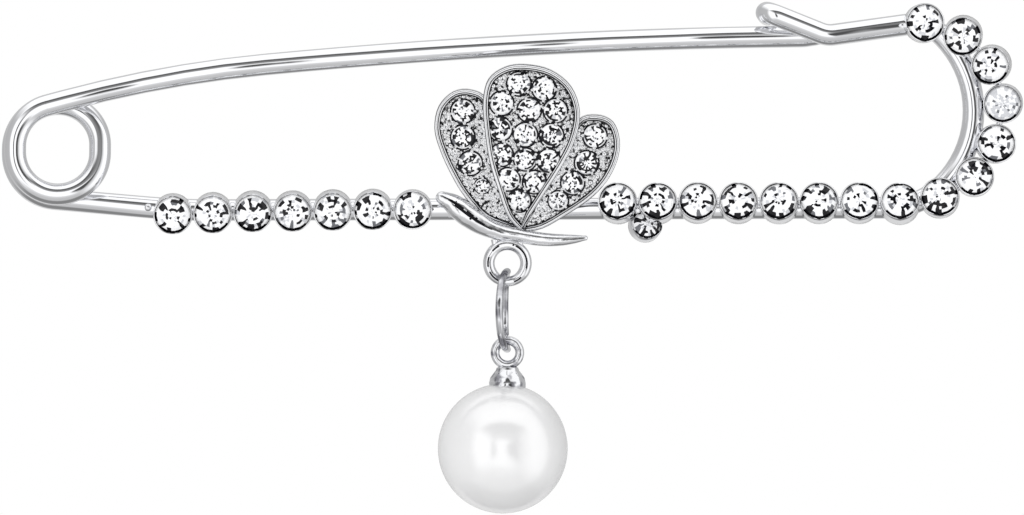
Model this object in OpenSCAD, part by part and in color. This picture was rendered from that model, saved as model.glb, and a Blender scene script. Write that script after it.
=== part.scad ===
// Safety pin brooch: a bent wire pin with two runs of cup stones, a cast butterfly and a pearl drop.
// It hangs as it is worn. The front faces -Y, +X is right, and the origin is on the pin's own centre line,
// where the cloth hangs from it.

/* [Wire] */
// Thickness of the round wire
wire_d = 1.7; // [1.2:0.05:1.85]

/* [Coil] */
// Bend radius of the coil's front and side turns, at the wire's centre line
coil_r = 3.3; // [3:0.05:3.8]
// Straight part of each turn, which makes the coil a little oval
coil_straight = 0.45; // [0.3:0.05:1.2]
// How much wider the back turn is bent than the front one
back_turn_spread = 0.25; // [0:0.05:0.4]
// Air between the front turn and the back one
turn_gap = 0.15; // [0.1:0.01:0.4]

/* [Frame] */
// Slope of the wire as it leaves the coil at the bottom, in degrees
foot_slope = 5; // [2:0.5:7]
// Length of that sloping stretch
foot_l = 7.5; // [5:0.1:9]
// Length of the straight stretch that carries the stones and the butterfly
bar_l = 52.7; // [50:0.1:58]
// Upward slope of that stretch, in degrees
bar_slope = 0.2; // [0:0.1:1]
// Bend radius of the right end's bottom corner
corner_r = 6.1; // [5:0.1:7]
// Bend radius of the right end
end_r = 8.2; // [7.5:0.1:9]
// Bend radius of the right end's top corner
top_corner_r = 3.3; // [2.5:0.1:4]
// Length of the straight stretch from the top corner to the hook
neck_l = 5.1; // [4.5:0.1:7]

/* [Hook] */
// Length of the hook's slanting front
hook_l = 3.4; // [3:0.1:4.5]
// Bend radius at the foot of the hook
hook_r = 1.9; // [1.5:0.1:2.5]
// Bend radius of the nose that turns back over the pin
nose_r = 1.1; // [1:0.05:1.4]
// Length of the nose past its bend
nose_l = 1.5; // [1:0.1:1.8]
// Air between the hook and the pin
hook_gap = 0.25; // [0.2:0.05:0.4]

/* [Pin arm] */
// Upward slope of the pin where it leaves the coil, in degrees
root_slope = 15; // [12:0.5:17]
// Length of the tight bend next to the coil
root_l = 15.9; // [12:0.1:19]
// Length of the ground point
point_l = 3.6; // [2:0.1:4]
// Distance from the coil's axis to the middle of the cloth
grip_x = 35.5; // [30:0.5:40]

/* [Cups] */
// Outside diameter of a cup
cup_d = 3.08; // [2.6:0.02:3.1]
// Thickness of a cup's wall
cup_wall = 0.1; // [0.1:0.01:0.18]
// Height of a cup with its prongs
cup_h = 1.6; // [1.4:0.05:1.9]
// Distance from one cup to the next in the left run
left_pitch = 3.12; // [3.1:0.01:3.3]
// Width of the gaps between a cup's prongs
notch_w = 0.6; // [0.4:0.05:0.8]
// Thickness of the links between the cups
link_d = 0.6; // [0.4:0.05:0.7]
// Distance from one cup to the next in the right run
right_pitch = 3.15; // [3.1:0.01:3.3]
// Number of cups in the left run
left_count = 7; // [5:1:7]
// Number of cups in the right run
right_count = 15; // [11:1:15]
// Distance from the coil's axis to the first cup on the left
left_start = 9; // [8.6:0.1:9.4]
// Bend radius of the right run round the end
run_r = 6.97; // [6.9:0.01:7.1]
// Diameter of the single cup under the right run
low_cup_d = 2.6; // [2.4:0.05:2.8]
// Height of that cup
low_cup_h = 1.1; // [1:0.05:1.2]

/* [Butterfly] */
// Distance from the coil's axis to the foot of the middle wing
butterfly_x = 36; // [35.5:0.1:36.2]
// Height of the middle wing
wing_h = 12.2; // [11:0.1:12.4]
// Width of the middle wing
wing_w = 7.4; // [6.8:0.1:7.5]
// Thickness of the middle wing at its crown
wing_t = 1.9; // [1.6:0.05:2.2]
// How far the side wings lie behind the middle wing
wing_step = 0.35; // [0.2:0.05:0.45]
// Width of the polished rim round a wing
rim_w = 0.42; // [0.3:0.02:0.5]
// Depth of the field inside the rim
field_depth = 0.3; // [0.2:0.02:0.4]
// Radius of the wings' crowned front
crown_r = 24; // [18:1:40]
// Forward lean of the butterfly, in degrees
lean = 5; // [4:0.5:7]
// Thickness of the butterfly's body at its middle
body_d = 1.85; // [1.5:0.05:1.9]
// Diameter of the larger stones in the wings
small_stone_d = 1.84; // [1.5:0.02:1.86]
// Outside diameter of the eye under the body
eye_d = 3.8; // [3.6:0.05:4]
// Thickness of the eye's wire
eye_wire_d = 0.9; // [0.7:0.05:1]

/* [Drop] */
// Outside diameter of the jump ring
ring_d = 6.65; // [5.8:0.05:7]
// Thickness of the jump ring's wire
ring_wire_d = 0.58; // [0.45:0.02:0.65]
// Outside diameter of the pearl cap's loop
loop_d = 2.62; // [2.4:0.02:2.8]
// Thickness of the loop's wire
loop_wire_d = 0.7; // [0.5:0.02:0.7]
// Diameter of the pearl
pearl_d = 10.15; // [8:0.05:12]
// Diameter of the pearl cap
cap_d = 2.86; // [2.6:0.02:3.2]
// Diameter of the peg that is glued into the pearl
peg_d = 0.9; // [0.7:0.05:1.1]
// Depth of the peg in the pearl
peg_l = 3.5; // [2.5:0.1:4]

/* [Hidden] */
$fn = 48;
// Air between pieces that only touch on the real brooch
clear = 0.05;
// Thickness and length of the thin collars that join the bends of a wire
swell = 0.02;
collar_l = 0.2;
// Number of facets round a cut stone
facets = 8;
// Small overlap of soldered pieces
solder = 0.15;
wire_r = wire_d / 2;
cup_r = cup_d / 2;
turn_pitch = wire_d + turn_gap;
turn_h = 2 * coil_r + coil_straight;

// Colours
steel = [0.82, 0.83, 0.85];
glass = [0.93, 0.95, 0.97];
cream = [0.96, 0.95, 0.93];

// Columns of a wire's bends: straight length before the bend, roll of the bend's plane in degrees,
// bend radius, bend angle in degrees
function move(v) = [[1, 0, 0, v[0]], [0, 1, 0, v[1]], [0, 0, 1, v[2]], [0, 0, 0, 1]];
function turn_x(a) = [[1, 0, 0, 0], [0, cos(a), -sin(a), 0], [0, sin(a), cos(a), 0], [0, 0, 0, 1]];
function turn_z(a) = [[cos(a), -sin(a), 0, 0], [sin(a), cos(a), 0, 0], [0, 0, 1, 0], [0, 0, 0, 1]];
function past_line(m, s) = m * move([s[0], 0, 0]) * turn_x(s[1]);
function past_bend(m, s) = past_line(m, s) * move([s[2] * sin(s[3]), s[2] * (1 - cos(s[3])), 0]) * turn_z(s[3]);
function walk(m, bends, n) = n < 1 ? m : past_bend(walk(m, bends, n - 1), bends[n - 1]);
function place(m) = [m[0][3], m[1][3], m[2][3]];
function seen_from(m, p) = [for (c = [0:2]) sum_of([for (r = [0:2]) m[r][c] * (p[r] - m[r][3])])];
function sum_of(v, i = 0) = i == len(v) ? 0 : v[i] + sum_of(v, i + 1);

// A start that heads left at the top of the coil, and bends left round it
to_left = [[-1, 0, 0, 0], [0, 0, -1, 0], [0, -1, 0, turn_h / 2], [0, 0, 0, 1]];

// Frame wire, from the back of the coil's top to the end of the hook
back_straight = coil_straight - back_turn_spread / 2;
foot_bend_r = 55;
end_turn = 90;
corner_turn = 45 - bar_slope;
top_slope = 8;
neck_turn = 45 + top_slope;
neck_lean = 12;
neck_bend_r = 4;
hook_rise = 30;
hook_roll = 90 + atan(neck_lean / hook_rise);
hook_turn = sqrt(neck_lean * neck_lean + hook_rise * hook_rise);
nose_turn = 96;
frame_bends = [
    [0, 0, coil_r + back_turn_spread, 90],
    [back_straight, 0, coil_r + back_turn_spread, 90 - foot_slope],
    [foot_l, 0, foot_bend_r, foot_slope + bar_slope],
    [bar_l, 0, corner_r, corner_turn],
    [0, 0, end_r, end_turn],
    [0, 0, top_corner_r, neck_turn],
    [0, 90, neck_bend_r, neck_lean],
    [neck_l, hook_roll, hook_r, hook_turn],
    [hook_l, 180 - hook_roll, nose_r, nose_turn],
    [nose_l, 0, 0, 0]];
bar_step = 3;
nose_step = 8;
bar_start = walk(to_left, frame_bends, bar_step);
nose = place(walk(to_left, frame_bends, nose_step) * move([hook_l + nose_r, 0, 0]));
hook_front = place(walk(to_left, frame_bends, nose_step) * move([hook_l, 0, 0]));

// Height of the bar's centre line at a distance from the coil's axis
function bar_z(x) = bar_start[2][3] + (x - bar_start[0][3]) * tan(bar_slope);

// Coil wire, which starts on the back turn's end and runs round to the front
coil_drop = atan(turn_pitch / turn_h);
coil_top = [[1, 0, 0, 0], [0, 0, -1, 0], [0, 1, 0, turn_h / 2], [0, 0, 0, 1]] * turn_x(180 - coil_drop);
side_stretch = turn_h / cos(coil_drop) - turn_h;
front_start = [[-1, 0, 0, 0], [0, 0, 1, -turn_pitch], [0, 1, 0, -turn_h / 2], [0, 0, 0, 1]];
side_bends = [[0, 0, coil_r, 90], [coil_straight + side_stretch, 0, coil_r, 90]];
front_bends = [[0, 0, coil_r, 90], [coil_straight, 0, coil_r, 90 - root_slope]];

// Pin arm, aimed at the hook
arm_root = walk(front_start, front_bends, 2) * move([clear, 0, 0]) * turn_x(180);
arm_slope = 5.5;
arm_over = root_slope - arm_slope;
arm_back = hook_front[1] + wire_d + hook_gap - place(arm_root)[1];
arm_sweep = asin(arm_back / (nose[0] - place(arm_root)[0]));
sweep_r = 30;
arm_start_bends = [
    [0, -90, sweep_r, arm_sweep],
    [0, -90, root_l / (arm_over * PI / 180), arm_over]];
arm_mid = walk(arm_root, arm_start_bends, 2);
arm_goal = [nose[0], place(arm_root)[1] + arm_back, nose[2] - wire_d - hook_gap];
arm_way = seen_from(arm_mid, arm_goal);
arm_half_turn = atan(arm_way[1] / arm_way[0]);
arm_long_r = norm(arm_way) / (2 * sin(arm_half_turn));
arm_bends = concat(arm_start_bends, [[0, 0, arm_long_r, 2 * arm_half_turn]]);
arm_end = walk(arm_root, arm_bends, 3);
blunt_l = nose_r + wire_d;
tip_d = 0.3;

// Place of the mount on the pin, by turning the long bend back from its end
grip_share = (grip_x - place(arm_mid)[0]) / (arm_goal[0] - place(arm_mid)[0]);
grip_pose = arm_mid * turn_z(arm_half_turn * grip_share) * move([norm(arm_way) * grip_share, 0, 0]);
mount_at = [grip_x, place(grip_pose)[1], place(grip_pose)[2]];

module at_mount() {
    translate(-mount_at) children();
}

module bent_wire(start, bends, d) {
    for (i = [0:len(bends) - 1]) {
        s = bends[i];
        m = walk(start, bends, i);
        if (s[0] > 0) multmatrix(m) rotate([0, 90, 0]) cylinder(h = s[0], d = d);
        if (s[3] != 0) multmatrix(past_line(m, s)) bend(s[2], s[3], d);
        if (s[3] != 0 && s[0] > 0) multmatrix(past_line(m, s)) collar(d);
        if (i < len(bends) - 1) multmatrix(past_bend(m, s)) collar(d);
    }
}

module collar(d) {
    rotate([0, 90, 0]) cylinder(h = collar_l, d = d + 2 * swell, center = true);
}

// Round end of a wire, which points along +x
module round_end(d) {
    collar(d);
    rotate([0, 90, 0])
        rotate_extrude()
            intersection() {
                circle(d = d);
                square(d);
            }
}

module bend(r, angle, d) {
    translate([0, r, 0])
        rotate([0, 0, r > 0 ? -90 : 90])
            rotate_extrude(angle = angle)
                translate([abs(r), 0]) circle(d = d);
}

// Stone cups, drawn with their backs at z = 0 and opening along +z
lip_w = 0.07;
lip_t = 0.14;
floor_t = 0.2;
lip_drop = 0.38;
crown_share = 0.38;
table_share = 0.58;
// Ring of crown points between the table and the girdle: share of the radius, share of the crown's height
kite_share = 0.86;
kite_rise = 0.48;
girdle_t = 0.08;
link_rise = 0.75;

module cup(d, h) {
    r = d / 2;
    inner_r = r - cup_wall;
    girdle_z = h - lip_drop;
    difference() {
        rotate_extrude()
            polygon([
                [0, 0], [r - cup_wall, 0], [r, cup_wall], [r, h - lip_t - cup_wall],
                [r - cup_wall, h], [inner_r - lip_w, h], [inner_r - lip_w, h - lip_t],
                [inner_r, girdle_z + girdle_t + clear], [inner_r, girdle_z - clear],
                [floor_t + cup_wall, floor_t], [0, floor_t]]);
        for (a = [0, 90]) rotate([0, 0, a])
            translate([-d, -notch_w / 2, girdle_z + girdle_t + clear])
                cube([2 * d, notch_w, h]);
    }
}

// Cut stone with an eight-sided table, eight main facets and sixteen girdle facets
function ring_at(r, z, n, shift) = [
    for (i = [0:n - 1])
        let (a = (i + shift) * 360 / n)
        [r * cos(a), r * sin(a), z]];

module cut_stone(r, crown, pavilion) {
    n = facets;
    pts = concat(
        ring_at(r * table_share, girdle_t + crown, n, 0),
        ring_at(r * kite_share, girdle_t + crown * kite_rise, n, 0.5),
        ring_at(r, girdle_t, 2 * n, 0),
        ring_at(r, 0, 2 * n, 0),
        [[0, 0, -pavilion]]);
    tip = 6 * n;
    faces = concat(
        [[for (i = [n - 1:-1:0]) i]],
        [for (i = [0:n - 1]) [i, (i + 1) % n, n + i]],
        [for (i = [0:n - 1]) [i, n + i, 2 * n + 2 * i]],
        [for (i = [0:n - 1]) [(i + 1) % n, 2 * n + (2 * i + 2) % (2 * n), n + i]],
        [for (i = [0:n - 1]) [n + i, 2 * n + 2 * i + 1, 2 * n + 2 * i]],
        [for (i = [0:n - 1]) [n + i, 2 * n + (2 * i + 2) % (2 * n), 2 * n + 2 * i + 1]],
        [for (i = [0:2 * n - 1]) [2 * n + i, 2 * n + (i + 1) % (2 * n), 4 * n + (i + 1) % (2 * n)]],
        [for (i = [0:2 * n - 1]) [2 * n + i, 4 * n + (i + 1) % (2 * n), 4 * n + i]],
        [for (i = [0:2 * n - 1]) [4 * n + i, 4 * n + (i + 1) % (2 * n), tip]]);
    polyhedron(pts, faces);
}

module set_stone(d, h) {
    r = d / 2 - cup_wall - clear;
    girdle_z = h - lip_drop;
    translate([0, 0, girdle_z]) cut_stone(r, r * crown_share, girdle_z - floor_t - 2 * clear);
}

// Seats of the cups: middle of the cup's back, how far it nods up, and how far it looks right, in degrees.
// A cup tilts about its stone, so that the stones keep their line.
run_back = -wire_r + 0.2;
left_rise = 1.2;
left_drop = -0.385;
left_nods = [-8, -9, -12, -9, -10, -9, -4];
function tilted(x, back, z, nod, side) = [
    x - cup_h * sin(side) * cos(nod),
    back,
    z - cup_h * sin(nod),
    nod,
    side];
function left_seat(i) = tilted(
    left_start + i * left_pitch,
    run_back,
    bar_z(left_start) + left_drop + i * left_pitch * tan(left_rise),
    left_nods[i],
    0);

// The right run is a line with an arc round the end of the frame
right_nods = [15, 16, 13, 14, 15, 14, 14, 18, 8, 3, 2, -3, -6, -8, 2];
right_sides = [-3, 0, 2, 0, -2, 0, 0, 0, 0, 0, 5, -5, -8, -3, 6];
run_in = 1.98;
run_over_bar = 0.545;
run_x = place(walk(to_left, frame_bends, 4))[0] - corner_r * sin(45) + run_in;
run_z = bar_z(run_x) + run_over_bar + run_r;
run_last = 82.5;
run_turn = run_last + 90;
run_arc_l = run_r * run_turn * PI / 180;
// How far the cups round the end sink back beside the wire, and over what length that comes and goes
end_sink = 0.6;
sink_start = 2;
sink_l = 5;
function right_way(i) = run_arc_l - (right_count - 1 - i) * right_pitch;
function right_angle(i) = -90 + right_way(i) / run_r * 180 / PI;
function share(x) = max(0, min(1, x));
function on_end(i) = share((right_way(i) - sink_start) / sink_l) * share((run_arc_l - right_way(i)) / sink_l);
function right_seat(i) = right_way(i) < 0
    ? tilted(run_x + right_way(i), run_back, run_z - run_r, right_nods[i], right_sides[i])
    : tilted(
        run_x + run_r * cos(right_angle(i)),
        run_back + on_end(i) * end_sink,
        run_z + run_r * sin(right_angle(i)),
        right_nods[i],
        right_sides[i]);
// The low cup stands under the second cup of the run, further back
low_share = 0.66;
low_sink = 0.75;
low_drop = 1.75;
low_nod = 18;
low_turn = 12;
low_room = 0.25;
low_x = run_x + right_way(0) + low_share * right_pitch;
low_z = run_z - run_r - low_drop - low_cup_h * sin(low_nod);
low_seat = [low_x, run_back + low_sink, low_z, low_nod, 0];

module on_seat(seat) {
    translate([seat[0], seat[1], seat[2]]) rotate([90 - seat[3], 0, seat[4]]) children();
}

// Link between two cups, which ends inside their walls
module link(a, b) {
    way = [b[0] - a[0], b[2] - a[2]];
    wall_r = cup_r - cup_wall / 2;
    translate([a[0], (a[1] + b[1]) / 2 - link_rise, a[2]])
        rotate([0, -atan2(way[1], way[0]), 0])
            translate([wall_r, 0, 0])
                rotate([0, 90, 0])
                    cylinder(h = norm(way) - 2 * wall_r, d = link_d);
}

module left_cups() {
    for (i = [0:left_count - 1]) on_seat(left_seat(i)) cup(cup_d, cup_h);
    for (i = [0:left_count - 2]) link(left_seat(i), left_seat(i + 1));
}

module right_cups() {
    for (i = [0:right_count - 1]) on_seat(right_seat(i)) cup(cup_d, cup_h);
    for (i = [0:right_count - 2]) link(right_seat(i), right_seat(i + 1));
}

module on_low_seat() {
    on_seat(low_seat) rotate([0, low_turn, 0]) children();
}

// Butterfly, drawn flat with its back at z = 0, its front towards +z and the middle wing's foot at the origin.
// Columns of a wing's outline: share of the width, share of the height
middle_outline = [
    [0.02, -0.06], [-0.12, 0.04], [-0.23, 0.23], [-0.315, 0.41], [-0.365, 0.62], [-0.378, 0.785],
    [-0.32, 0.92], [-0.15, 0.995], [0.06, 1.013], [0.335, 0.978], [0.555, 0.87], [0.645, 0.705],
    [0.59, 0.53], [0.46, 0.37], [0.285, 0.2], [0.13, 0.05]];
left_outline = [
    [-0.02, -0.06], [-0.35, 0.02], [-0.57, 0.165], [-0.71, 0.305], [-0.83, 0.465], [-0.89, 0.605],
    [-0.845, 0.745], [-0.69, 0.838], [-0.5, 0.85], [-0.33, 0.785], [-0.22, 0.55], [-0.1, 0.25]];
right_outline = [
    [0.02, -0.07], [0.25, -0.04], [0.505, 0.05], [0.745, 0.15], [0.92, 0.26], [1.035, 0.395],
    [1.065, 0.525], [0.995, 0.645], [0.82, 0.69], [0.62, 0.655], [0.43, 0.45], [0.2, 0.2]];

// A smooth curve through the points, closed by a straight line across the wing's foot
function spline_at(p, i, t) =
    let (n = len(p), a = p[max(i - 1, 0)], b = p[i], c = p[i + 1], d = p[min(i + 2, n - 1)])
    0.5 * (2 * b + (c - a) * t + (2 * a - 5 * b + 4 * c - d) * t * t + (3 * b - a - 3 * c + d) * t * t * t);
outline_steps = 3;
function outline(p) = [
    for (i = [0:len(p) - 2], k = [0:outline_steps - 1])
        let (q = spline_at(p, i, k / outline_steps)) [q[0] * wing_w, q[1] * wing_h]];

// Columns of the wing stones: share of the width, share of the height, share of the full stone size
middle_stones = [
    [0, 0.891, 1], [0.266, 0.86, 1], [-0.18, 0.767, 1], [0.11, 0.725, 1], [0.385, 0.72, 1],
    [-0.195, 0.603, 1], [0.07, 0.568, 1], [0.345, 0.562, 1], [-0.18, 0.438, 0.96], [0.068, 0.409, 0.95],
    [0.315, 0.402, 0.96], [-0.112, 0.28, 0.98], [0.165, 0.262, 0.98], [0.005, 0.14, 0.96]];
left_stones = [[-0.59, 0.714, 1], [-0.59, 0.549, 1], [-0.51, 0.382, 1], [-0.385, 0.235, 0.66]];
right_stones = [[0.803, 0.555, 1], [0.715, 0.385, 1], [0.568, 0.256, 0.98], [0.415, 0.14, 0.84]];

middle_crown = [0.9, wing_h * 0.55, wing_t - crown_r];
left_crown = [-wing_w * 0.5, wing_h * 0.45, wing_t - wing_step - crown_r];
right_crown = [wing_w * 0.65, wing_h * 0.35, wing_t - wing_step - crown_r];
crown_fn = 240;
pocket_depth = 0.62;
pocket_clear = 0.03;
gem_crown = 0.28;
gem_sink = 0.06;

module wing(points, crown, stones) {
    shape = outline(points);
    difference() {
        intersection() {
            linear_extrude(wing_t + 1) polygon(shape);
            translate(crown) sphere(r = crown_r, $fn = crown_fn);
        }
        difference() {
            linear_extrude(wing_t + 1) offset(delta = -rim_w) polygon(shape);
            translate(crown) sphere(r = crown_r - field_depth, $fn = crown_fn);
        }
        pockets(crown, stones);
    }
}

// Pockets that the wing stones are set in
module pockets(crown, stones) {
    for (s = stones) on_crown(crown, s)
        translate([0, 0, -pocket_depth])
            cylinder(h = pocket_depth + 1, d = small_stone_d * s[2] + 2 * pocket_clear);
}

// Stands a child on the field of a wing, square to its crowned front
module on_crown(crown, s) {
    way = [s[0] * wing_w - crown[0], s[1] * wing_h - crown[1]];
    field_r = crown_r - field_depth;
    translate(crown)
        rotate([0, 0, atan2(way[1], way[0])])
            rotate([0, asin(norm(way) / field_r), 0])
                translate([0, 0, field_r]) children();
}

module wing_stones(crown, stones) {
    for (s = stones) on_crown(crown, s)
        translate([0, 0, -gem_sink])
            cut_stone(small_stone_d * s[2] / 2, gem_crown, pocket_depth - 2 * gem_sink);
}

// Butterfly body: a spindle swept along a curve. Columns: share of the width, share of the height, share of
// the thickness
spine = [
    [-0.837, 0.168, 0.48], [-0.774, 0.148, 0.66], [-0.705, 0.124, 0.84], [-0.631, 0.09, 0.97],
    [-0.536, 0.046, 1], [-0.41, -0.005, 0.9], [-0.283, -0.043, 0.77], [-0.146, -0.067, 0.65],
    [0.013, -0.083, 0.6], [0.171, -0.102, 0.59], [0.329, -0.111, 0.55], [0.467, -0.111, 0.48],
    [0.593, -0.106, 0.36], [0.69, -0.1, 0.2]];
spine_sides = 12;
spine_z = 1;

module body() {
    n = len(spine);
    at = [for (s = spine) [s[0] * wing_w, s[1] * wing_h]];
    way = [for (i = [0:n - 1]) at[min(i + 1, n - 1)] - at[max(i - 1, 0)]];
    pts = [
        for (i = [0:n - 1], k = [0:spine_sides - 1])
            let (
                u = way[i] / norm(way[i]),
                r = spine[i][2] * body_d / 2,
                a = k * 360 / spine_sides)
            [at[i][0] - u[1] * r * cos(a), at[i][1] + u[0] * r * cos(a), spine_z + r * sin(a)]];
    sides = [
        for (i = [0:n - 2], k = [0:spine_sides - 1])
            let (a = i * spine_sides + k, b = i * spine_sides + (k + 1) % spine_sides)
            [a, a + spine_sides, b + spine_sides, b]];
    ends = [
        [for (k = [0:spine_sides - 1]) k],
        [for (k = [spine_sides - 1:-1:0]) (n - 1) * spine_sides + k]];
    polyhedron(pts, concat(sides, ends));
}

eye_ring_r = (eye_d - eye_wire_d) / 2;
eye_share = -0.12;
eye_drop = 0.495;
eye_at = [eye_share * wing_w, -eye_drop - body_d / 2 - eye_d / 2 + solder, spine_z];

// Two shoulders run up from the eye into the body
shoulder_d = 0.55;
shoulder_turn = 49;
shoulder_l = 0.75;

module eye() {
    translate(eye_at) {
        rotate_extrude()
            translate([eye_ring_r, 0]) circle(d = eye_wire_d);
        for (side = [-1, 1])
            translate(eye_ring_r * [side * cos(shoulder_turn), sin(shoulder_turn), 0])
                rotate([-90, 0, 0]) cylinder(h = shoulder_l, d = shoulder_d);
    }
}

foot_drop = 0.975;
butterfly_z = bar_z(butterfly_x) - foot_drop;
butterfly_back = -wire_r + solder;
function from_butterfly(p) = [
    butterfly_x + p[0],
    butterfly_back - p[2] * cos(lean) - p[1] * sin(lean),
    butterfly_z + p[1] * cos(lean) - p[2] * sin(lean)];

module on_frame() {
    translate([butterfly_x, butterfly_back, butterfly_z]) rotate([90 + lean, 0, 0]) children();
}

module side_wings() {
    wing(left_outline, left_crown, left_stones);
    wing(right_outline, right_crown, right_stones);
}

// Drop: the ring hangs on the eye's lowest point, and the pearl's loop on the ring's lowest point
eye_mid = from_butterfly(eye_at);
ring_r = (ring_d - ring_wire_d) / 2;
loop_r = (loop_d - loop_wire_d) / 2;
ring_pivot = [eye_mid[0], eye_mid[1], eye_mid[2] - eye_ring_r];
ring_mid_z = ring_pivot[2] + (eye_wire_d + ring_wire_d) / 2 + clear - ring_r;
pearl_pivot = [ring_pivot[0], ring_pivot[1], ring_mid_z - ring_r];
loop_mid_z = pearl_pivot[2] + (ring_wire_d + loop_wire_d) / 2 + clear - loop_r;
cap_h = 1.3;
cap_neck_d = 1.75;
loop_sink = -0.15;
pearl_mid_z = loop_mid_z - loop_r - cap_h - pearl_d / 2 + loop_sink;

// Columns of the cap's outline: share of the way out from neck to skirt, share of the height
cap_profile = [[1, 0.12], [0.82, 0.36], [0.43, 0.6], [0.05, 0.84], [-0.1, 1]];
cap_skirt = 0.9;
// How far the drilled hole lies off the middle of the pearl
pearl_side = -0.36;
// How far the halves of the jump ring, bent open by hand, turn to the left at the front and at the back
front_swing = 12.5;
back_swing = 3.8;

module hanging_torus(r, d) {
    rotate_extrude() translate([r, 0]) circle(d = d);
}

// The cup under the row is let into the wire and the two cups over it, and the stones of the middle wing
// reach into what lies behind it
module frame() {
    color(steel) at_mount() {
        difference() {
            union() {
                bent_wire(to_left, frame_bends, wire_d);
                multmatrix(walk(to_left, frame_bends, len(frame_bends))) round_end(wire_d);
                right_cups();
                on_frame() side_wings();
            }
            on_frame() pockets(middle_crown, middle_stones);
            on_low_seat()
                translate([0, 0, floor_t / 2])
                    cylinder(h = low_cup_h + low_room, d = low_cup_d - cup_wall);
        }
        on_low_seat() cup(low_cup_d, low_cup_h);
        left_cups();
        on_frame() {
            wing(middle_outline, middle_crown, middle_stones);
            body();
            eye();
        }
    }
}

module spring_coil() {
    color(steel) at_mount() {
        bent_wire(coil_top * move([clear, 0, 0]), side_bends, wire_d);
        bent_wire(front_start, front_bends, wire_d);
        multmatrix(front_start) collar(wire_d);
    }
}

module pin_arm() {
    color(steel) at_mount() {
        bent_wire(arm_root, arm_bends, wire_d);
        multmatrix(arm_end) {
            collar(wire_d);
            rotate([0, 90, 0]) cylinder(h = blunt_l, d = wire_d);
            translate([blunt_l, 0, 0]) {
                collar(wire_d);
                rotate([0, 90, 0]) cylinder(h = point_l, d1 = wire_d, d2 = tip_d);
            }
        }
    }
}

module half_ring() {
    rotate([0, 90, 0])
        rotate_extrude(angle = 180)
            translate([ring_r, 0]) circle(d = ring_wire_d);
}

module jump_ring() {
    color(steel) at_mount()
        translate([ring_pivot[0], ring_pivot[1], ring_mid_z]) {
            rotate([0, 0, back_swing]) half_ring();
            rotate([0, 0, 180 - front_swing]) half_ring();
            for (side = [-1, 1]) translate([0, 0, side * ring_r]) sphere(d = ring_wire_d + 2 * swell);
        }
}

module pearl_cap() {
    pearl_r = pearl_d / 2;
    color(steel) at_mount() {
        translate([ring_pivot[0], ring_pivot[1], loop_mid_z]) rotate([90, 0, 0]) hanging_torus(loop_r, loop_wire_d);
        translate([ring_pivot[0], ring_pivot[1], pearl_mid_z]) {
            difference() {
                rotate_extrude()
                    polygon(concat(
                        [[0, pearl_r - cap_skirt], [cap_d / 2, pearl_r - cap_skirt]],
                        [for (p = cap_profile) [
                            cap_neck_d / 2 + p[0] * (cap_d - cap_neck_d) / 2,
                            pearl_r + p[1] * cap_h]],
                        [[0, pearl_r + cap_h]]));
                translate([pearl_side, 0, 0]) sphere(r = pearl_r + clear);
            }
            translate([0, 0, pearl_r - peg_l]) cylinder(h = peg_l + cap_h / 2, d = peg_d);
        }
    }
}

module pearl() {
    color(cream) at_mount()
        translate([ring_pivot[0], ring_pivot[1], pearl_mid_z])
            difference() {
                translate([pearl_side, 0, 0]) sphere(d = pearl_d);
                translate([0, 0, pearl_d / 2 - peg_l - clear]) cylinder(h = peg_l + 1, d = peg_d + 2 * clear);
            }
}

module left_stone(i) {
    color(glass) at_mount() on_seat(left_seat(i)) set_stone(cup_d, cup_h);
}

module right_stone(i) {
    color(glass) at_mount() on_seat(right_seat(i)) set_stone(cup_d, cup_h);
}

module low_stone() {
    color(glass) at_mount() on_low_seat() set_stone(low_cup_d, low_cup_h);
}

module left_wing_stones() {
    color(glass) at_mount() on_frame() wing_stones(left_crown, left_stones);
}

module centre_wing_stones() {
    color(glass) at_mount() on_frame() wing_stones(middle_crown, middle_stones);
}

module right_wing_stones() {
    color(glass) at_mount() on_frame() wing_stones(right_crown, right_stones);
}

frame();
spring_coil();
pin_arm();
jump_ring();
pearl_cap();
pearl();
left_wing_stones();
centre_wing_stones();
right_wing_stones();
low_stone();
for (i = [1:left_count]) left_stone(i - 1);
for (i = [1:right_count]) right_stone(i - 1);
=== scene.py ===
"""Looks of a safety pin brooch: bent wire, cup stones, a pierced butterfly and a pearl drop."""
import math
import random

import bpy
import bmesh
from mathutils import Matrix, Vector, noise


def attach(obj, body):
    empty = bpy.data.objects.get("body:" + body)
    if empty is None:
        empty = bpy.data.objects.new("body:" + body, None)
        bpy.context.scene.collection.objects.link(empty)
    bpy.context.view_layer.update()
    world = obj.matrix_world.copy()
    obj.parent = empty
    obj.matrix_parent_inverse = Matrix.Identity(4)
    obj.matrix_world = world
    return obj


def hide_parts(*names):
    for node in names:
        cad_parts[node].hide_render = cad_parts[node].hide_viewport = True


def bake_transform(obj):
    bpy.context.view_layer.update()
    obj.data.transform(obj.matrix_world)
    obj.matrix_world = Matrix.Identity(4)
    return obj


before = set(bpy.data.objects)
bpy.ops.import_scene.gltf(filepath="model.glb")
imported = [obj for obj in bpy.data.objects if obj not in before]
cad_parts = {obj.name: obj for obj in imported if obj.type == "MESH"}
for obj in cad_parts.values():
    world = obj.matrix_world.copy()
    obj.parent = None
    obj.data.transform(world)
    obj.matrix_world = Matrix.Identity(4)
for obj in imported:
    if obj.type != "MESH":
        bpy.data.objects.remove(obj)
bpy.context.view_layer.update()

# All shapes below are worked out in millimetres and degrees from the middle of the spring coil, then set
# down so that the brooch's own origin, on the pin, comes to zero.
MM = 0.001
MOUNT = Vector((35.5, -0.195704, 8.07875))
TO_ROW = Matrix.Scale(MM, 4) @ Matrix.Translation(-MOUNT)
CLEAR = 0.05
SOLDER = 0.15

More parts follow.
